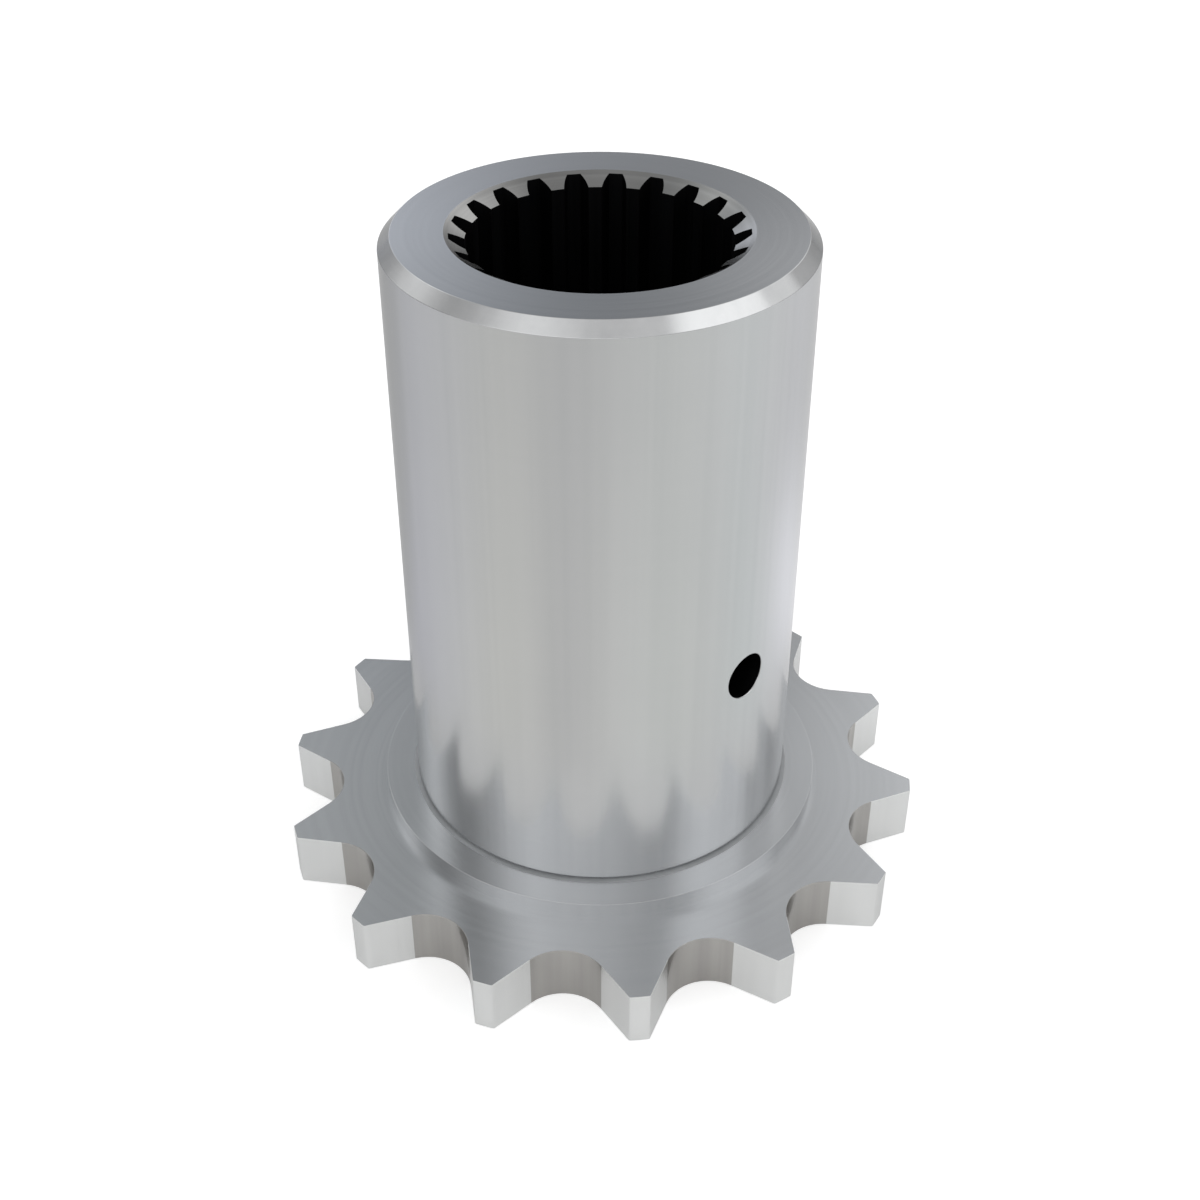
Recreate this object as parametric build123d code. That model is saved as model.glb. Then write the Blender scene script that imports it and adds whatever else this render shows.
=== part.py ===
from build123d import *
import os
from math import cos, radians, sin, sqrt, tan

# Chain sprocket with a long splined hub, turned and cut from one steel blank.
# The wheel turns about Z. The underside of the toothed plate lies on Z = 0.
# The cross hole looks along +X, where a tooth gap and a spline tooth are centred too.

# Chain and its teeth
chain_pitch = 19.05
roller_diameter = 11.91
tooth_count = 14
tip_diameter = 88.9
seat_clearance = 0.04
flank_lean = 40.9
plate_thickness = 8.0

# Collar that stands on the plate
collar_diameter = 61.0
collar_height = 2.0

# Hub
hub_diameter = 52.0
overall_length = 90.0
hub_chamfer = 1.5
relief_width = 0.5
relief_depth = 0.5

# Internal spline and the cone that leads a shaft into it
spline_count = 21
spline_minor_diameter = 31.75
spline_major_diameter = 35.48
space_root_width = 1.67
space_mouth_width = 3.10
space_flank_bulge = 0.12
lead_in_diameter = 36.5
lead_in_slope = 30.0

# Cross hole for a locking pin
cross_hole_diameter = 6.2
cross_hole_height = 38.0

# How far a cutter runs past the metal
overrun = 1.0

# Radii worked out from the sizes above
pitch_radius = chain_pitch / (2 * sin(radians(180 / tooth_count)))
seat_radius = roller_diameter / 2 + seat_clearance
tip_radius = tip_diameter / 2
hub_radius = hub_diameter / 2
minor_radius = spline_minor_diameter / 2
major_radius = spline_major_diameter / 2
lead_in_radius = lead_in_diameter / 2
lead_in_depth = (lead_in_radius - minor_radius) * tan(radians(lead_in_slope))


def turned_blank():
    """The whole turned shape: plate, collar, relief groove, hub and plain bore."""
    collar_top = plate_thickness + collar_height
    relief_top = collar_top + relief_width
    relief_radius = hub_radius - relief_depth
    half_section = Polyline(
        (minor_radius, lead_in_depth),
        (lead_in_radius, 0),
        (tip_radius, 0),
        (tip_radius, plate_thickness),
        (collar_diameter / 2, plate_thickness),
        (collar_diameter / 2, collar_top),
        (relief_radius, collar_top),
        (relief_radius, relief_top),
        (hub_radius, relief_top),
        (hub_radius, overall_length - hub_chamfer),
        (hub_radius - hub_chamfer, overall_length),
        (lead_in_radius, overall_length),
        (minor_radius, overall_length - lead_in_depth),
        close=True,
    )
    return revolve(Plane.XZ * make_face(half_section), axis=Axis.Z)


def tooth_gap():
    """The cutter between two teeth: a round roller seat with straight flanks tangent to it."""
    lean = radians(flank_lean)
    tangent_x = pitch_radius - seat_radius * sin(lean)
    tangent_y = seat_radius * cos(lean)
    outer_x = tip_radius + overrun
    outer_y = tangent_y + (outer_x - tangent_x) * tan(lean)
    seat = ThreePointArc(
        (tangent_x, tangent_y),
        (pitch_radius - seat_radius, 0),
        (tangent_x, -tangent_y),
    )
    flanks = Polyline(
        (tangent_x, -tangent_y),
        (outer_x, -outer_y),
        (outer_x, outer_y),
        (tangent_x, tangent_y),
    )
    outline = make_face(seat + flanks)
    return Pos(0, 0, -overrun) * extrude(outline, plate_thickness + 2 * overrun)


def spline_space():
    """The cutter for one spline space: a flat root and two flanks that bulge like involutes."""
    root_y = space_root_width / 2
    root_x = sqrt(major_radius**2 - root_y**2)
    mouth_y = space_mouth_width / 2
    mouth_x = sqrt(minor_radius**2 - mouth_y**2)
    upper_flank = SagittaArc((mouth_x, mouth_y), (root_x, root_y), space_flank_bulge)
    lower_flank = SagittaArc((root_x, -root_y), (mouth_x, -mouth_y), space_flank_bulge)
    root = Line((root_x, root_y), (root_x, -root_y))
    inside = Polyline(
        (mouth_x, -mouth_y),
        (mouth_x - overrun, -mouth_y),
        (mouth_x - overrun, mouth_y),
        (mouth_x, mouth_y),
    )
    outline = make_face(upper_flank + root + lower_flank + inside)
    return Pos(0, 0, -overrun) * extrude(outline, overall_length + 2 * overrun)


def cross_hole():
    """The radial drilling through one wall of the hub."""
    drill = Cylinder(
        cross_hole_diameter / 2,
        hub_radius + overrun,
        align=(Align.CENTER, Align.CENTER, Align.MIN),
    )
    return Pos(0, 0, cross_hole_height) * Rot(0, 90, 0) * drill


def sprocket():
    gap_angles = PolarLocations(0, tooth_count)
    space_angles = PolarLocations(0, spline_count, start_angle=180 / spline_count)
    gaps = gap_angles * tooth_gap()
    spaces = space_angles * spline_space()
    body = turned_blank() - gaps
    body = body - spaces
    return body - cross_hole()


os.makedirs("parts", exist_ok=True)
body = sprocket()
export_step(body, "parts/sprocket.step")
print("seat and root radius", round(seat_radius, 3), round(pitch_radius - seat_radius, 3))
print("volume in cubic mm", round(body.volume))
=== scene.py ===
from math import acos, asin, atan2, cos, hypot, pi, radians, sin, sqrt, tan

import bpy
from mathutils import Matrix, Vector


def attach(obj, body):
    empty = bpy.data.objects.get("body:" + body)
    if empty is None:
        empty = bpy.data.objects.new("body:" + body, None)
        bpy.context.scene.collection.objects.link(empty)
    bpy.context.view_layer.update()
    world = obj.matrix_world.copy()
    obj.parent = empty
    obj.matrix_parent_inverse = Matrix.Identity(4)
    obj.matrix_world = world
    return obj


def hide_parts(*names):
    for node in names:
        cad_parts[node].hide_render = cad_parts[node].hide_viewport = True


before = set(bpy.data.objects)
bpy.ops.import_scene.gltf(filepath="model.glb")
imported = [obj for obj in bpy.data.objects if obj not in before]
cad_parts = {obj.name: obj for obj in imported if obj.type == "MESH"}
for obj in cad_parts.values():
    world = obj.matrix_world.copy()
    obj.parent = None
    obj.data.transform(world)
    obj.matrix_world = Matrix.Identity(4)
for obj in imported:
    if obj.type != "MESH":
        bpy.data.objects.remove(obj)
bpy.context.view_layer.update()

# Sizes in millimetres, the same as the solid's
CHAIN_PITCH = 19.05
TOOTH_COUNT = 14
TIP_RADIUS = 44.45
SEAT_RADIUS = 5.995
FLANK_LEAN = radians(40.9)
PLATE_TOP = 8.0
COLLAR_RADIUS = 30.5
COLLAR_TOP = 10.0
HUB_RADIUS = 26.0
HUB_TOP = 90.0
HUB_CHAMFER = 1.5
RELIEF_RADIUS = 25.5
RELIEF_TOP = 10.5
SPLINE_COUNT = 21
MINOR_RADIUS = 15.875
MAJOR_RADIUS = 17.74
SPACE_ROOT = 1.67
SPACE_MOUTH = 3.10
SPACE_BULGE = 0.12
LEAD_RADIUS = 18.25
LEAD_SLOPE = radians(30)
HOLE_RADIUS = 3.1
HOLE_HEIGHT = 38.0
PITCH_RADIUS = CHAIN_PITCH / (2 * sin(pi / TOOTH_COUNT))

# Edge breaks, which are too small for the solid
EDGE = 0.05
TOOTH_CORNER = 0.10
HOLE_EDGE = 0.16

# How far the groove's dull grey is carried out over the collar, painted shade that widens the
# grey line at the hub's foot
GROOVE_SHADE_REACH = 0.55

# Half the height of the band round the hub and the bore that holds the cross hole
HOLE_BAND = 8

# Straight pieces in each part of the outlines
EDGE_STEPS = 3
SEAT_STEPS = 14
FLANK_STEPS = 5
TIP_STEPS = 3
SPACE_FLANK_STEPS = 6
SPACE_ROOT_STEPS = 3
CREST_STEPS = 4
HOLE_STEPS = 48
COLUMN_STEP = radians(1)

# Lengths and angles nearer than this are taken as the same
NEAR = 1e-6
NEAR_END = 1e-3

# Decimals to which points, heights and angles are rounded before they are compared
POINT_DIGITS = 4
LEVEL_DIGITS = 9
ANGLE_DIGITS = 5

# Material zones of the skin
TURNED, FACED, LEAD, GROOVE, FLANK, SEAT, BORE = range(7)

# How the tool's fine lines and its broader streaks are stretched, per metre
STRAIGHT_MARKS = {
    "around the wall": ((25, 25, 5200), (800, 800, 6)),
    "along the axis": ((1900, 1900, 22), (420, 420, 6)),
}
RING_MARKS = (4200.0, 1300.0)
RING_DRIFT = 12.0
CLOUD_SCALE = 90.0

# What the lines, the clouds and the streaks add to the tone, and the range that it spans
FINE_SHARE = 0.2
STREAK_SHARE = 0.6
TONE_RANGE = (0.38, 0.62)
ROUGH_SPREAD = 0.01
BUMP_HEIGHT = 0.00002

# The finishes in the order of their zones: name, run of the tool's marks, darkest and
# lightest colour, roughness, bump, and then anisotropy, metallic and rim where they differ
STEELS = (
    ("turned_steel", "around the wall", (0.535, 0.542, 0.548), (0.562, 0.568, 0.573),
     0.20, 0.05, 0.65, 1.0, 0.73),
    ("faced_steel", "rings on the face", (0.530, 0.544, 0.560), (0.548, 0.562, 0.578),
     0.21, 0.03, 0.75),
    # The lead-in cone is a darker copy of the faced steel, painted shade in the mouth of the
    # bore
    ("lead_in_steel", "rings on the face", (0.25, 0.25, 0.247), (0.31, 0.31, 0.307),
     0.23, 0.06, 0.5),
    # The groove's finish is a dull grey on the groove and on a strip of the collar beside it,
    # painted shade for the line at the hub's foot
    ("groove_painted_shade", "around the wall", (0.37, 0.383, 0.395), (0.41, 0.423, 0.435),
     0.55, 0.05, 0.0, 0.2),
    # The flank and seat finishes are a lighter and a darker copy of the same cut surface:
    # painted sheen on the flanks and tips, painted shade in the seats
    ("flank_steel", "along the axis", (0.690, 0.697, 0.693), (0.728, 0.735, 0.731),
     0.25, 0.10),
    ("seat_steel", "along the axis", (0.378, 0.368, 0.355), (0.438, 0.427, 0.412),
     0.19, 0.15),
    # The bore and the cross hole are painted near black, painted shade inside them
    ("bore_painted_shade", "along the axis", (0.012, 0.012, 0.013), (0.02, 0.02, 0.022),
     0.45, 0.15),
)

# The camera, in metres, at the place that the photograph's perspective gives
CAMERA_TURN = radians(-45)
CAMERA_REACH = 0.18371
CAMERA_HEIGHT = 0.16663
CAMERA_TILT = radians(35.264)
CAMERA_LENS = 50
CAMERA_SENSOR = 36

# The room's soft lights: azimuth (0 towards the camera, + to its right) and elevation in
# degrees, strength, how fast it falls off round that direction, and colour
PLAIN = (1.0, 1.0, 1.0)
COOL = (0.94, 0.985, 1.10)
GREENISH = (0.96, 1.0, 1.01)
ROOM_GREY = (0.28, 0.28, 0.28)
ROOM_LIGHTS = (
    (0, 90, 0.30, 15, PLAIN),
    (0, 33, 1.04, 12, PLAIN),
    (-45, 33, 1.28, 12, PLAIN),
    (45, 33, 0.50, 12, PLAIN),
    (42, 62, 0.35, 40, PLAIN),
    (-50, 62, 0.38, 20, PLAIN),
    (-78, 34, 0.15, 40, PLAIN),
    (-124, 38, 1.30, 35, PLAIN),
    (-124, 18, 0.28, 25, PLAIN),
    (135, 33, 0.35, 12, PLAIN),
    (-163, 13, 1.00, 30, COOL),
    (-155, 30, 0.32, 20, GREENISH),
    (-150, 50, 0.39, 20, GREENISH),
    (155, 28, 1.00, 20, PLAIN),
    (150, 50, 0.35, 20, PLAIN),
    (178, 28, -0.46, 60, PLAIN),
    (180, 45, -0.28, 20, PLAIN),
)

# Two soft lamps at the right: name, azimuth, elevation, distance, width, height and power
LAMPS = (
    ("right_front_lamp", 73, 38, 0.40, 0.30, 0.30, 0.17),
    ("right_lamp", 90, 40, 0.40, 0.38, 0.38, 0.25),
)
LAMP_TARGET = (0, 0, 0.045)

# The floor, in metres: half its side, how far it lies under the object, its colour, and
# what it adds for the camera, so that it is white there
FLOOR_HALF = 6.0
FLOOR_DROP = 0.00005
FLOOR_COLOUR = (0.8, 0.8, 0.8, 1)
FLOOR_WHITE = 0.46

# What it adds for the steel: a glow that fades towards one azimuth, soft lobes on it
# (azimuth, strength, fall), shares by distance from the axis (near, far, share near,
# share far), and a bright patch. It is even up to the first distance of OPEN_FLOOR
FLOOR_GLOW = 0.19
FADE_AZIMUTH = -150
FADE_START = 0.80
FLOOR_LOBES = ((-14, -0.12, 35.0), (132, 0.23, 12.0))
OPEN_FLOOR = (0.05, 0.065)
FLOOR_SHARES = ((0.07, 0.15, 1.05, 0.62), (0.25, 0.60, 1.0, 0.0))
PATCH_AZIMUTH = 116
PATCH_REACH = 0.085
PATCH_WIDTH = 0.032
PATCH_GLOW = 0.34

# How that glow is tinted, in the form of the room's lights
FLOOR_TINTS = (
    (-113, 0, 1.0, 6, (0.0, 0.0, 0.24)),
    (-50, 0, 1.0, 14, (0.03, 0.0, -0.19)),
    (-13, 0, 1.0, 14, (0.06, 0.0, -0.15)),
    (35, 0, 1.0, 8, (-0.07, 0.0, -0.15)),
    (77, 0, 1.0, 25, (-0.15, 0.0, -0.03)),
    (115, 0, 1.0, 8, (0.0, 0.0, 0.08)),
)


class Skin:
    """A closed mesh built from strips, with its own normal at every face corner."""

    def __init__(self):
        self.points = []
        self.numbers = {}
        self.faces = []
        self.normals = []
        self.zones = []

    def number(self, point):
        key = tuple(round(value, POINT_DIGITS) for value in point)
        if key not in self.numbers:
            self.numbers[key] = len(self.points)
            self.points.append(tuple(value / 1000 for value in point))
        return self.numbers[key]

    def face(self, corners, zone):
        kept = []
        for point, normal in corners:
            number = self.number(point)
            if all(number != other[0] for other in kept):
                kept.append((number, Vector(point), Vector(normal)))
        if len(kept) < 3:
            return
        facing = Vector((0, 0, 0))
        for here, ahead in zip(kept, kept[1:] + kept[:1]):
            facing += here[1].cross(ahead[1])
        if facing.dot(sum((item[2] for item in kept), Vector((0, 0, 0)))) < 0:
            kept.reverse()
        self.faces.append([item[0] for item in kept])
        self.normals.extend(tuple(item[2].normalized()) for item in kept)
        self.zones.append(zone)

    def strip(self, first, second, zone):
        """Quads between two closed loops of the same count."""
        count = len(first)
        for i in range(count):
            j = (i + 1) % count
            zone_here = zone(first[i], first[j]) if callable(zone) else zone
            self.face((first[i], first[j], second[j], second[i]), zone_here)

    def zip(self, first, first_keys, second, second_keys, zone):
        """Triangles between two closed loops that are ordered by the same kind of key."""
        i = j = 0
        first = first + first[:1]
        second = second + second[:1]
        first_keys = first_keys + [first_keys[0] + 2 * pi]
        second_keys = second_keys + [second_keys[0] + 2 * pi]
        while i < len(first) - 1 or j < len(second) - 1:
            over = j == len(second) - 1
            if over or (i < len(first) - 1 and first_keys[i + 1] <= second_keys[j + 1]):
                self.face((first[i], first[i + 1], second[j]), zone)
                i += 1
            else:
                self.face((first[i], second[j + 1], second[j]), zone)
                j += 1

    def mesh(self, name):
        data = bpy.data.meshes.new(name)
        data.from_pydata(self.points, [], self.faces)
        data.polygons.foreach_set("material_index", self.zones)
        data.polygons.foreach_set("use_smooth", [True] * len(self.faces))
        data.normals_split_custom_set(self.normals)
        data.update()
        return data


def turn(angle, x, y):
    return (x * cos(angle) - y * sin(angle), x * sin(angle) + y * cos(angle))


def blend(a, b, share):
    mixed = Vector(a).lerp(Vector(b), share)
    return tuple(mixed.normalized())


def rounded_corner(before, corner, after, normal_in, normal_out, steps=2):
    """Points and normals of a small curve that replaces a sharp corner."""
    made = []
    for k in range(steps + 1):
        t = k / steps
        point = tuple(
            (1 - t) ** 2 * p + 2 * t * (1 - t) * q + t**2 * r
            for p, q, r in zip(before, corner, after)
        )
        made.append((point, blend(normal_in, normal_out, t)))
    return made


def tooth_outline():
    """The plate's outline as points and outward normals, from the middle of a gap."""
    lean = FLANK_LEAN
    tangent = (PITCH_RADIUS - SEAT_RADIUS * sin(lean), SEAT_RADIUS * cos(lean))
    along = tangent[0] * cos(lean) + tangent[1] * sin(lean)
    reach = -along + sqrt(along**2 - tangent[0] ** 2 - tangent[1] ** 2 + TIP_RADIUS**2)
    corner = (tangent[0] + reach * cos(lean), tangent[1] + reach * sin(lean))
    corner_angle = atan2(corner[1], corner[0])
    half_pitch = pi / TOOTH_COUNT
    flank_normal = (sin(lean), -cos(lean))

    # Half of a gap, from its middle to the middle of the next tooth
    half = []
    seat_reach = pi / 2 - lean
    for k in range(SEAT_STEPS + 1):
        angle = seat_reach * k / SEAT_STEPS
        x = PITCH_RADIUS - SEAT_RADIUS * cos(angle)
        y = SEAT_RADIUS * sin(angle)
        half.append(((x, y), (cos(angle), -sin(angle))))
    for k in range(1, FLANK_STEPS):
        share = k / FLANK_STEPS * (reach - TOOTH_CORNER)
        x = tangent[0] + share * cos(lean)
        y = tangent[1] + share * sin(lean)
        half.append(((x, y), flank_normal))
    before = (corner[0] - TOOTH_CORNER * cos(lean), corner[1] - TOOTH_CORNER * sin(lean))
    tip_start = corner_angle + TOOTH_CORNER / TIP_RADIUS
    after = (TIP_RADIUS * cos(tip_start), TIP_RADIUS * sin(tip_start))
    tip_normal = (cos(tip_start), sin(tip_start))
    half += rounded_corner(before, corner, after, flank_normal, tip_normal)
    for k in range(1, TIP_STEPS + 1):
        angle = tip_start + (half_pitch - tip_start) * k / TIP_STEPS
        point = (TIP_RADIUS * cos(angle), TIP_RADIUS * sin(angle))
        half.append((point, (cos(angle), sin(angle))))

    mirrored = [((p[0], -p[1]), (n[0], -n[1])) for p, n in reversed(half[1:])]
    gap = mirrored[1:] + half
    outline = []
    for tooth in range(TOOTH_COUNT):
        angle = tooth * 2 * half_pitch
        for p, n in gap:
            outline.append((turn(angle, *p), turn(angle, *n)))
    return outline


def wall_zone(here, ahead):
    """The zone of the plate's side wall between two points: a seat, or a flank or tip."""
    x, y = ((a + b) / 2 for a, b in zip(here[0][:2], ahead[0][:2]))
    end_x = PITCH_RADIUS - SEAT_RADIUS * sin(FLANK_LEAN)
    end_y = SEAT_RADIUS * cos(FLANK_LEAN)
    # Seats take the darker copy of the cut finish, painted shade, and flanks and tips the
    # lighter copy, painted sheen
    return SEAT if hypot(x, y) < hypot(end_x, end_y) + EDGE / 2 else FLANK


def raised(outline, inset, z, tilt):
    """The outline moved inwards by a length, lifted to z, its normals tipped by an angle."""
    return [
        (
            (p[0] - inset * n[0], p[1] - inset * n[1], z),
            (n[0] * cos(tilt), n[1] * cos(tilt), sin(tilt)),
        )
        for p, n in outline
    ]


def keys_of(loop):
    """Rising angles of a loop's points about Z, from the first point on."""
    keys = []
    for point, _ in loop:
        angle = atan2(point[1], point[0])
        while keys and angle < keys[-1]:
            angle += 2 * pi
        keys.append(angle)
    return keys


def hub_angles():
    """Column angles round the hub, from just before the cross hole, where they are finer."""
    mouth = HOLE_RADIUS + HOLE_EDGE
    steps = HOLE_STEPS // 2
    fine = [asin(mouth * cos(pi * k / steps) / HUB_RADIUS) for k in range(steps + 1)]
    fine.reverse()
    coarse = []
    angle = fine[-1] + COLUMN_STEP
    end = fine[0] + 2 * pi - COLUMN_STEP / 2
    while angle < end:
        coarse.append(angle)
        angle += COLUMN_STEP
    return fine + coarse


def ring(angles, r, z, nr, nz):
    """A circle about Z with normals that have a radial part nr and an upward part nz."""
    return [
        ((r * cos(a), r * sin(a), z), (nr * cos(a), nr * sin(a), nz)) for a in angles
    ]


def spline_profile():
    """The inside of the bore as smooth runs of points and normals, four for each space."""
    root_y = SPACE_ROOT / 2
    root_x = sqrt(MAJOR_RADIUS**2 - root_y**2)
    mouth_y = SPACE_MOUTH / 2
    mouth_x = sqrt(MINOR_RADIUS**2 - mouth_y**2)
    chord = Vector((root_x - mouth_x, root_y - mouth_y))
    radius = (chord.length**2 / 4 + SPACE_BULGE**2) / (2 * SPACE_BULGE)
    outward = Vector((-chord.y, chord.x)).normalized()
    middle = Vector((mouth_x, mouth_y)) + chord / 2
    centre = middle - outward * (radius - SPACE_BULGE)
    flank = []
    start = Vector((mouth_x, mouth_y)) - centre
    end = Vector((root_x, root_y)) - centre
    first = atan2(start.y, start.x)
    sweep = atan2(end.y, end.x) - first
    for k in range(SPACE_FLANK_STEPS + 1):
        angle = first + sweep * k / SPACE_FLANK_STEPS
        direction = Vector((cos(angle), sin(angle)))
        point = centre + direction * radius
        flank.append((tuple(point), tuple(-direction)))
    lower = [((p[0], -p[1]), (n[0], -n[1])) for p, n in flank]
    root = []
    for k in range(SPACE_ROOT_STEPS + 1):
        y = -root_y + 2 * root_y * k / SPACE_ROOT_STEPS
        root.append(((root_x, y), (-1, 0)))
    half_pitch = pi / SPLINE_COUNT
    mouth_angle = atan2(mouth_y, mouth_x)
    crest = []
    for k in range(CREST_STEPS + 1):
        a = mouth_angle + (2 * half_pitch - 2 * mouth_angle) * k / CREST_STEPS
        crest.append(((MINOR_RADIUS * cos(a), MINOR_RADIUS * sin(a)), (-cos(a), -sin(a))))
    runs = []
    for space in range(SPLINE_COUNT):
        angle = (2 * space + 1) * half_pitch
        for run in (lower, root, list(reversed(flank)), crest):
            runs.append([(turn(angle, *p), turn(angle, *n)) for p, n in run])
    return runs


def split_run(run, levels):
    """Adds points to a run of the profile where it crosses the given y levels near +X."""
    made = [run[0]]
    for here, ahead in zip(run, run[1:]):
        (x0, y0), n0 = here
        (x1, y1), n1 = ahead
        if x0 > 0 and abs(y0) < 2 * HOLE_RADIUS and abs(y1 - y0) > NEAR:
            shares = [(y - y0) / (y1 - y0) for y in levels]
            for t in sorted(t for t in shares if NEAR_END < t < 1 - NEAR_END):
                point = (x0 + t * (x1 - x0), y0 + t * (y1 - y0))
                made.append((point, tuple(Vector(n0).lerp(Vector(n1), t).normalized())))
        made.append(ahead)
    return made


def build_skin():
    """The whole sprocket as one closed mesh."""
    skin = Skin()
    outline = tooth_outline()
    angles = hub_angles()

    # Plate: side wall with broken edges, from the underside's edge to the top's edge
    loops = []
    for k in range(EDGE_STEPS + 1):
        tilt = pi / 2 * (1 - k / EDGE_STEPS)
        z = EDGE * (1 - sin(tilt))
        loops.append(raised(outline, EDGE * (1 - cos(tilt)), z, -tilt))
    for k in range(EDGE_STEPS + 1):
        tilt = pi / 2 * k / EDGE_STEPS
        z = PLATE_TOP - EDGE * (1 - sin(tilt))
        loops.append(raised(outline, EDGE * (1 - cos(tilt)), z, tilt))
    for lower, upper in zip(loops, loops[1:]):
        skin.strip(lower, upper, wall_zone)
    under_edge = [(p, (0, 0, -1)) for p, _ in loops[0]]
    top_edge = [(p, (0, 0, 1)) for p, _ in loops[-1]]

    # Plate top, from its edge to the collar's foot
    foot = ring(angles, COLLAR_RADIUS, PLATE_TOP, 0, 1)
    start = max(i for i, a in enumerate(keys_of(top_edge)) if a <= angles[0])
    turned_edge = top_edge[start:] + top_edge[:start]
    skin.zip(turned_edge, keys_of(turned_edge), foot, angles, FACED)

    # Collar and relief groove
    def band(r0, z0, r1, z1, n0, n1, zone):
        skin.strip(ring(angles, r0, z0, *n0), ring(angles, r1, z1, *n1), zone)

    def edge_break(before, corner, after, n0, n1, zone):
        bits = rounded_corner(before, corner, after, n0, n1, EDGE_STEPS)
        for (p, n), (q, m) in zip(bits, bits[1:]):
            band(p[0], p[1], q[0], q[1], n, m, zone)

    out, up, down = (1, 0), (0, 1), (0, -1)
    slant = (sqrt(0.5), sqrt(0.5))
    band(COLLAR_RADIUS, PLATE_TOP, COLLAR_RADIUS, COLLAR_TOP - EDGE, out, out, TURNED)
    edge_break(
        (COLLAR_RADIUS, COLLAR_TOP - EDGE),
        (COLLAR_RADIUS, COLLAR_TOP),
        (COLLAR_RADIUS - EDGE, COLLAR_TOP),
        out, up, TURNED,
    )
    shade_edge = HUB_RADIUS + GROOVE_SHADE_REACH
    band(COLLAR_RADIUS - EDGE, COLLAR_TOP, shade_edge, COLLAR_TOP, up, up, FACED)
    # This strip of the collar takes the groove's dull grey, painted shade beside the groove
    band(shade_edge, COLLAR_TOP, RELIEF_RADIUS, COLLAR_TOP, up, up, GROOVE)
    band(RELIEF_RADIUS, COLLAR_TOP, RELIEF_RADIUS, RELIEF_TOP, out, out, GROOVE)
    band(RELIEF_RADIUS, RELIEF_TOP, HUB_RADIUS - EDGE, RELIEF_TOP, down, down, GROOVE)
    edge_break(
        (HUB_RADIUS - EDGE, RELIEF_TOP),
        (HUB_RADIUS, RELIEF_TOP),
        (HUB_RADIUS, RELIEF_TOP + EDGE),
        down, out, TURNED,
    )

    # Hub wall in three bands, the middle one open at the cross hole
    chamfer_foot = HUB_TOP - HUB_CHAMFER
    window = (HOLE_HEIGHT - HOLE_BAND, HOLE_HEIGHT + HOLE_BAND)
    cut_back = EDGE * sqrt(0.5)
    wall_top = chamfer_foot - EDGE
    band(HUB_RADIUS, RELIEF_TOP + EDGE, HUB_RADIUS, window[0], out, out, TURNED)
    band(HUB_RADIUS, window[1], HUB_RADIUS, wall_top, out, out, TURNED)
    mouth = HOLE_RADIUS + HOLE_EDGE
    lower = ring(angles, HUB_RADIUS, window[0], *out)
    upper = ring(angles, HUB_RADIUS, window[1], *out)

    def lifted(corner, z):
        (x, y, _), normal = corner
        return ((x, y, z), normal)

    def half_height(y, radius):
        return sqrt(max(0, radius**2 - y**2))

    for i, here in enumerate(lower):
        j = (i + 1) % len(lower)
        if i < HOLE_STEPS // 2:
            gap_here = half_height(lower[i][0][1], mouth)
            gap_ahead = half_height(lower[j][0][1], mouth)
            skin.face(
                (here, lower[j], lifted(lower[j], HOLE_HEIGHT - gap_ahead),
                 lifted(here, HOLE_HEIGHT - gap_here)), TURNED)
            skin.face(
                (upper[i], upper[j], lifted(lower[j], HOLE_HEIGHT + gap_ahead),
                 lifted(here, HOLE_HEIGHT + gap_here)), TURNED)
        else:
            middle = (lifted(lower[j], HOLE_HEIGHT), lifted(here, HOLE_HEIGHT))
            skin.face((here, lower[j], *middle), TURNED)
            skin.face((upper[i], upper[j], *middle), TURNED)

    # Chamfer and end face
    edge_break(
        (HUB_RADIUS, wall_top),
        (HUB_RADIUS, chamfer_foot),
        (HUB_RADIUS - cut_back, chamfer_foot + cut_back),
        out, slant, TURNED,
    )
    face_radius = HUB_RADIUS - HUB_CHAMFER
    band(
        HUB_RADIUS - cut_back, chamfer_foot + cut_back,
        face_radius + cut_back, HUB_TOP - cut_back, slant, slant, TURNED,
    )
    edge_break(
        (face_radius + cut_back, HUB_TOP - cut_back),
        (face_radius, HUB_TOP),
        (face_radius - EDGE, HUB_TOP),
        slant, up, TURNED,
    )

    # Bore: profile points, with the cross hole's columns added
    hole_angles = [2 * pi * k / HOLE_STEPS for k in range(HOLE_STEPS)]
    levels = sorted({round(HOLE_RADIUS * cos(a), LEVEL_DIGITS) for a in hole_angles})
    runs = [split_run(run, levels) for run in spline_profile()]
    fall = tan(LEAD_SLOPE)

    def cone_drop(point):
        return (LEAD_RADIUS - sqrt(point[0] ** 2 + point[1] ** 2)) * fall

    limit = HOLE_RADIUS + NEAR
    profile = []
    for run in runs:
        for (p, n), (q, m) in zip(run, run[1:]):
            pn, qn = (*n, 0), (*m, 0)
            holed = p[0] > 0 and abs(p[1]) <= limit and abs(q[1]) <= limit
            gap_p = half_height(p[1], HOLE_RADIUS) if holed else 0
            gap_q = half_height(q[1], HOLE_RADIUS) if holed else 0
            drop_p, drop_q = cone_drop(p), cone_drop(q)
            spans = (
                (drop_p, drop_q, window[0], window[0]),
                (window[0], window[0], HOLE_HEIGHT - gap_p, HOLE_HEIGHT - gap_q),
                (HOLE_HEIGHT + gap_p, HOLE_HEIGHT + gap_q, window[1], window[1]),
                (window[1], window[1], HUB_TOP - drop_p, HUB_TOP - drop_q),
            )
            for low_p, low_q, high_p, high_q in spans:
                corners = (
                    ((*p, low_p), pn), ((*q, low_q), qn),
                    ((*q, high_q), qn), ((*p, high_p), pn),
                )
                skin.face(corners, BORE)
            profile.append(p)

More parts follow.
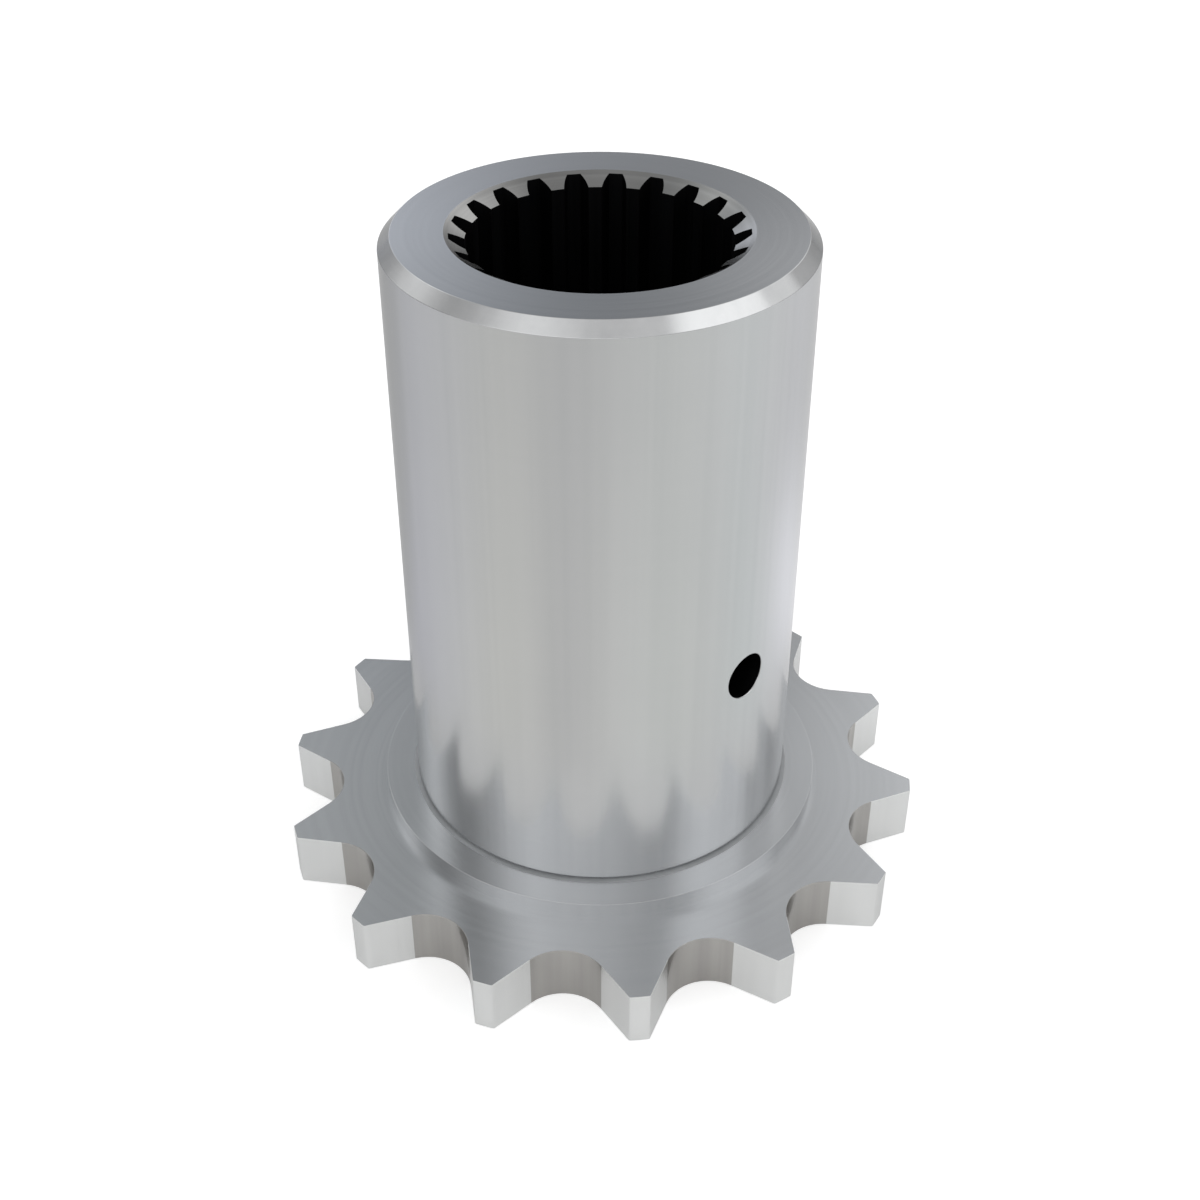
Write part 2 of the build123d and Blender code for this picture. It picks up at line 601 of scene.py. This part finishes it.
    # Lead-in cones and the two end faces
    profile.sort(key=lambda p: atan2(p[1], p[0]))
    profile_keys = [atan2(p[1], p[0]) for p in profile]
    for z, sign in ((HUB_TOP, 1), (0, -1)):
        lean_in = (-sin(LEAD_SLOPE), cos(LEAD_SLOPE) * sign)
        inner = []
        for p, a in zip(profile, profile_keys):
            normal = (lean_in[0] * cos(a), lean_in[0] * sin(a), lean_in[1])
            inner.append(((*p, z - sign * cone_drop(p)), normal))
        skin.strip(inner, ring(profile_keys, LEAD_RADIUS, z, *lean_in), LEAD)
        lip = ring(profile_keys, LEAD_RADIUS, z, 0, sign)
        if sign > 0:
            outer, outer_keys = ring(angles, face_radius - EDGE, z, 0, 1), angles
        else:
            outer, outer_keys = under_edge, keys_of(under_edge)
        gaps = [abs(remainder_turn(key - profile_keys[0])) for key in outer_keys]
        first = gaps.index(min(gaps))
        outer = outer[first:] + outer[:first]
        skin.zip(outer, unrolled(outer, profile_keys[0]), lip, profile_keys, FACED)

    # Cross hole: a rounded mouth, then a straight wall down to the spline
    def hole_ring(radius, depth, tilt):
        made = []
        for a in hole_angles:
            y, z = radius * cos(a), HOLE_HEIGHT + radius * sin(a)
            x = sqrt(HUB_RADIUS**2 - y**2)
            surface = Vector((x, y, 0)) / HUB_RADIUS
            wall = Vector((0, -cos(a), -sin(a)))
            normal = (surface * cos(tilt) + wall * sin(tilt)).normalized()
            made.append(((x - depth, y, z), tuple(normal)))
        return made

    rings = []
    for k in range(EDGE_STEPS + 1):
        tilt = pi / 2 * k / EDGE_STEPS
        radius = HOLE_RADIUS + HOLE_EDGE * (1 - sin(tilt))
        rings.append(hole_ring(radius, HOLE_EDGE * (1 - cos(tilt)), tilt))
    for a, b in zip(rings, rings[1:]):
        skin.strip(a, b, TURNED)
    tube = hole_ring(HOLE_RADIUS, HOLE_EDGE, pi / 2)
    ends = {}
    for run in runs:
        for p, _ in run:
            if p[0] > 0 and abs(p[1]) <= limit:
                a = acos(max(-1, min(1, p[1] / HOLE_RADIUS)))
                for angle in (a, 2 * pi - a):
                    if angle < 2 * pi - NEAR:
                        gap = half_height(p[1], HOLE_RADIUS)
                        side = 1 if angle <= pi else -1
                        ends[round(angle, ANGLE_DIGITS)] = (
                            (*p, HOLE_HEIGHT + side * gap),
                            (0, -cos(angle), -sin(angle)),
                        )
    end_keys = sorted(ends)
    skin.zip(tube, hole_angles, [ends[a] for a in end_keys], end_keys, BORE)
    return skin


def remainder_turn(angle):
    """An angle brought to between minus and plus half a turn."""
    while angle > pi:
        angle -= 2 * pi
    while angle < -pi:
        angle += 2 * pi
    return angle


def unrolled(loop, near):
    """Rising angles of a loop's points, the first one brought next to a given angle."""
    first = atan2(loop[0][0][1], loop[0][0][0])
    first = near + remainder_turn(first - near)
    keys = [first]
    for point, _ in loop[1:]:
        keys.append(keys[-1] + remainder_turn(atan2(point[1], point[0]) - keys[-1]))
    return keys


mesh = build_skin().mesh("sprocket_skin")
piece = bpy.data.objects.new("sprocket_skin", mesh)
bpy.context.scene.collection.objects.link(piece)
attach(piece, "root")
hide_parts("sprocket")


class Nodes:
    """Short way to wire a material's or world's nodes."""

    def __init__(self, tree):
        self.tree = tree
        tree.nodes.clear()

    def add(self, kind, **values):
        node = self.tree.nodes.new(kind)
        for name, value in values.items():
            setattr(node, name, value)
        return node

    def link(self, source, target):
        self.tree.links.new(source, target)

    def math(self, operation, *inputs):
        node = self.add("ShaderNodeMath", operation=operation)
        for socket, value in zip(node.inputs, inputs):
            if isinstance(value, (int, float)):
                socket.default_value = value
            else:
                self.link(value, socket)
        return node.outputs[0]

    def split(self, vector):
        node = self.add("ShaderNodeSeparateXYZ")
        self.link(vector, node.inputs[0])
        return node.outputs

    def join(self, *values):
        """A vector from three values, each followed by its factor."""
        node = self.add("ShaderNodeCombineXYZ")
        for socket, value, factor in zip(node.inputs, values[::2], values[1::2]):
            self.link(self.math("MULTIPLY", value, factor), socket)
        return node.outputs[0]

    def vector_math(self, operation, vector, other=None):
        node = self.add("ShaderNodeVectorMath", operation=operation)
        self.link(vector, node.inputs[0])
        if other is not None:
            node.inputs[1].default_value = other
        return node.outputs

    def dot(self, vector, direction):
        return self.vector_math("DOT_PRODUCT", vector, direction)["Value"]

    def noise(self, vector, scale, detail, rough):
        node = self.add("ShaderNodeTexNoise")
        node.inputs["Scale"].default_value = scale
        node.inputs["Detail"].default_value = detail
        node.inputs["Roughness"].default_value = rough
        self.link(vector, node.inputs["Vector"])
        return node.outputs["Fac"]

    def stretch(self, vector, scale):
        node = self.add("ShaderNodeMapping")
        node.inputs["Scale"].default_value = scale
        self.link(vector, node.inputs["Vector"])
        return node.outputs[0]

    def remap(self, value, low, high, to_low, to_high):
        node = self.add("ShaderNodeMapRange")
        for name, number in zip(
            ("From Min", "From Max", "To Min", "To Max"), (low, high, to_low, to_high)
        ):
            node.inputs[name].default_value = number
        self.link(value, node.inputs["Value"])
        return node.outputs[0]

    def tone(self, value, dark, light):
        node = self.add("ShaderNodeMix", data_type="RGBA")
        node.inputs[6].default_value = (*dark, 1)
        node.inputs[7].default_value = (*light, 1)
        self.link(value, node.inputs[0])
        return node.outputs[2]

    def lobe(self, direction, azimuth, elevation, fall):
        """1 along one direction, and softly less round it."""
        near = self.math("SUBTRACT", self.dot(direction, aim(azimuth, elevation)), 1.0)
        return self.math("EXPONENT", self.math("MULTIPLY", near, fall))

    def lobes(self, direction, start, lights):
        """A colour that changes softly round a few directions."""
        total = None
        for azimuth, elevation, strength, fall, colour in lights:
            near = self.lobe(direction, azimuth, elevation, fall)
            tinted = self.add("ShaderNodeVectorMath", operation="SCALE")
            tinted.inputs[0].default_value = colour
            self.link(self.math("MULTIPLY", near, strength), tinted.inputs["Scale"])
            if total is None:
                total = self.vector_math("ADD", tinted.outputs[0], start)[0]
            else:
                added = self.add("ShaderNodeVectorMath", operation="ADD")
                self.link(tinted.outputs[0], added.inputs[0])
                self.link(total, added.inputs[1])
                total = added.outputs[0]
        return total

    def sum_of(self, first, second):
        """Two shaders added."""
        node = self.add("ShaderNodeAddShader")
        self.link(first, node.inputs[0])
        self.link(second, node.inputs[1])
        return node.outputs[0]

    def choice(self, share, first, second):
        """The first shader where share is 0, and the second where it is 1."""
        node = self.add("ShaderNodeMixShader")
        self.link(share, node.inputs[0])
        self.link(first, node.inputs[1])
        self.link(second, node.inputs[2])
        return node.outputs[0]


def steel(name, marks, dark, light, rough, bump, anisotropy=0.0, metallic=1.0, rim=0.8):
    """Machined steel. marks is the way that the tool's fine lines run, and rim is how
    bright the metal stays where it is seen at a very low angle.
    """
    material = bpy.data.materials.new(name)
    material.use_nodes = True
    nodes = Nodes(material.node_tree)
    place = nodes.add("ShaderNodeTexCoord").outputs["Object"]
    if marks in STRAIGHT_MARKS:
        lines, streaks = (nodes.stretch(place, scale) for scale in STRAIGHT_MARKS[marks])
    else:
        x, y, _ = nodes.split(place)
        square = nodes.math("ADD", nodes.math("MULTIPLY", x, x), nodes.math("MULTIPLY", y, y))
        radius = nodes.math("SQRT", square)
        lines, streaks = (
            nodes.join(radius, scale, x, RING_DRIFT, y, RING_DRIFT) for scale in RING_MARKS
        )
    fine = nodes.noise(lines, 1.0, 3.0, 0.6)
    broad = nodes.noise(streaks, 1.0, 2.0, 0.5)
    cloud = nodes.noise(place, CLOUD_SCALE, 3.0, 0.5)
    share = nodes.math("MULTIPLY", nodes.math("ADD", fine, cloud), FINE_SHARE)
    share = nodes.math("ADD", share, nodes.math("MULTIPLY", broad, STREAK_SHARE))
    share = nodes.remap(share, *TONE_RANGE, 0, 1)
    roughness = nodes.remap(share, 0, 1, rough - ROUGH_SPREAD, rough + ROUGH_SPREAD)
    shader = nodes.add("ShaderNodeBsdfPrincipled")
    shader.inputs["Metallic"].default_value = metallic
    shader.inputs["Anisotropic"].default_value = anisotropy
    shader.inputs["Specular Tint"].default_value = (rim, rim, rim, 1)
    nodes.link(nodes.tone(share, dark, light), shader.inputs["Base Color"])
    nodes.link(roughness, shader.inputs["Roughness"])
    bumps = nodes.add("ShaderNodeBump")
    bumps.inputs["Strength"].default_value = bump
    bumps.inputs["Distance"].default_value = BUMP_HEIGHT
    nodes.link(fine, bumps.inputs["Height"])
    nodes.link(bumps.outputs[0], shader.inputs["Normal"])
    if anisotropy:
        # The grooves run round the axis, and they spread a highlight across themselves
        shader.inputs["Anisotropic Rotation"].default_value = 0.25
        tangent = nodes.add("ShaderNodeTangent", direction_type="RADIAL", axis="Z")
        nodes.link(tangent.outputs[0], shader.inputs["Tangent"])
    nodes.link(shader.outputs[0], nodes.add("ShaderNodeOutputMaterial").inputs[0])
    return material


def make_world():
    """A grey room with a few broad soft lights and a darker patch behind the object. The
    camera itself sees white.
    """
    world = bpy.data.worlds.new("studio")
    bpy.context.scene.world = world
    world.use_nodes = True
    nodes = Nodes(world.node_tree)
    direction = nodes.add("ShaderNodeTexCoord").outputs["Generated"]
    room = nodes.add("ShaderNodeBackground")
    nodes.link(nodes.lobes(direction, ROOM_GREY, ROOM_LIGHTS), room.inputs["Color"])
    white = nodes.add("ShaderNodeBackground")
    white.inputs["Color"].default_value = (1, 1, 1, 1)
    camera_ray = nodes.add("ShaderNodeLightPath").outputs["Is Camera Ray"]
    seen = nodes.choice(camera_ray, room.outputs[0], white.outputs[0])
    nodes.link(seen, nodes.add("ShaderNodeOutputWorld").inputs[0])


def mirrored_glow(nodes, spot):
    """How bright the floor glows for the steel, and in what colour, from a spot on it."""
    place = nodes.vector_math("NORMALIZE", spot)[0]
    reach = nodes.vector_math("LENGTH", spot)["Value"]
    behind = nodes.dot(place, aim(FADE_AZIMUTH, 0))
    level = nodes.remap(behind, FADE_START, 1.0, FLOOR_GLOW, 0.0)
    for azimuth, strength, fall in FLOOR_LOBES:
        near = nodes.lobe(place, azimuth, 0, fall)
        level = nodes.math("ADD", level, nodes.math("MULTIPLY", near, strength))
    # Under the object and close to its teeth the floor is even
    in_the_open = nodes.remap(reach, *OPEN_FLOOR, 0.0, 1.0)
    change = nodes.math("SUBTRACT", level, FLOOR_GLOW)
    level = nodes.math("ADD", nodes.math("MULTIPLY", change, in_the_open), FLOOR_GLOW)
    for stretch in FLOOR_SHARES:
        level = nodes.math("MULTIPLY", level, nodes.remap(reach, *stretch))
    centre = aim(PATCH_AZIMUTH, 0) * PATCH_REACH
    away = nodes.vector_math("DISTANCE", spot, centre)["Value"]
    patch = nodes.math("POWER", nodes.math("MULTIPLY", away, 1 / PATCH_WIDTH), 2.0)
    patch = nodes.math("EXPONENT", nodes.math("MULTIPLY", patch, -1.0))
    level = nodes.math("ADD", level, nodes.math("MULTIPLY", patch, PATCH_GLOW))
    tint = nodes.add("ShaderNodeMix", data_type="RGBA")
    nodes.link(in_the_open, tint.inputs[0])
    tint.inputs[6].default_value = (1, 1, 1, 1)
    nodes.link(nodes.lobes(place, (1, 1, 1), FLOOR_TINTS), tint.inputs[7])
    return level, tint.outputs[2]


def make_floor():
    """A plain pale floor. The camera sees it white, and the steel dimmer and uneven."""
    data = bpy.data.meshes.new("floor")
    half = FLOOR_HALF
    corners = [(-half, -half, 0), (half, -half, 0), (half, half, 0), (-half, half, 0)]
    data.from_pydata(corners, [], [(0, 1, 2, 3)])
    floor = bpy.data.objects.new("floor", data)
    floor.location.z = -FLOOR_DROP
    bpy.context.scene.collection.objects.link(floor)
    material = bpy.data.materials.new("pale_floor")
    material.use_nodes = True
    nodes = Nodes(material.node_tree)
    geometry = nodes.add("ShaderNodeNewGeometry")
    rays = nodes.add("ShaderNodeLightPath")
    diffuse = nodes.add("ShaderNodeBsdfDiffuse")
    diffuse.inputs["Color"].default_value = FLOOR_COLOUR
    white = nodes.add("ShaderNodeEmission")
    seen = nodes.math("MULTIPLY", rays.outputs["Is Camera Ray"], FLOOR_WHITE)
    nodes.link(seen, white.inputs["Strength"])
    image = nodes.add("ShaderNodeEmission")
    glossy, through = rays.outputs["Is Glossy Ray"], rays.outputs["Is Transmission Ray"]
    mirrored = nodes.math("MAXIMUM", glossy, through)
    level, colour = mirrored_glow(nodes, geometry.outputs["Position"])
    nodes.link(nodes.math("MULTIPLY", mirrored, level), image.inputs["Strength"])
    nodes.link(colour, image.inputs["Color"])
    lit = nodes.sum_of(diffuse.outputs[0], white.outputs[0])
    above = nodes.sum_of(lit, image.outputs[0])
    # From below the floor is clear, so that the underside can be seen
    clear = nodes.add("ShaderNodeBsdfTransparent")
    both_sides = nodes.choice(geometry.outputs["Backfacing"], above, clear.outputs[0])
    nodes.link(both_sides, nodes.add("ShaderNodeOutputMaterial").inputs[0])
    data.materials.append(material)


def aim(azimuth, elevation):
    """A direction, with azimuth 0 towards the camera and + to its right."""
    turned = CAMERA_TURN + radians(azimuth)
    rise = radians(elevation)
    return Vector((cos(turned) * cos(rise), sin(turned) * cos(rise), sin(rise)))


def make_lamp(name, azimuth, elevation, distance, width, height, power):
    """A soft lamp that looks at the object."""
    lamp = bpy.data.lights.new(name, "AREA")
    lamp.shape = "RECTANGLE"
    lamp.size, lamp.size_y = width, height
    lamp.energy = power
    holder = bpy.data.objects.new(name, lamp)
    away = aim(azimuth, elevation)
    holder.location = Vector(LAMP_TARGET) + away * distance
    holder.rotation_euler = away.to_track_quat("Z", "Y").to_euler()
    bpy.context.scene.collection.objects.link(holder)


def make_camera():
    data = bpy.data.cameras.new("camera")
    data.lens = CAMERA_LENS
    data.sensor_width = CAMERA_SENSOR
    data.clip_start = 0.001
    camera = bpy.data.objects.new("camera", data)
    x, y = turn(CAMERA_TURN, CAMERA_REACH, 0)
    camera.location = (x, y, CAMERA_HEIGHT)
    camera.rotation_euler = (pi / 2 - CAMERA_TILT, 0, CAMERA_TURN + pi / 2)
    bpy.context.scene.collection.objects.link(camera)
    bpy.context.scene.camera = camera


for finish in STEELS:
    mesh.materials.append(steel(*finish))
make_camera()
make_world()
make_floor()
for lamp in LAMPS:
    make_lamp(*lamp)
bpy.context.scene.view_settings.view_transform = "Standard"
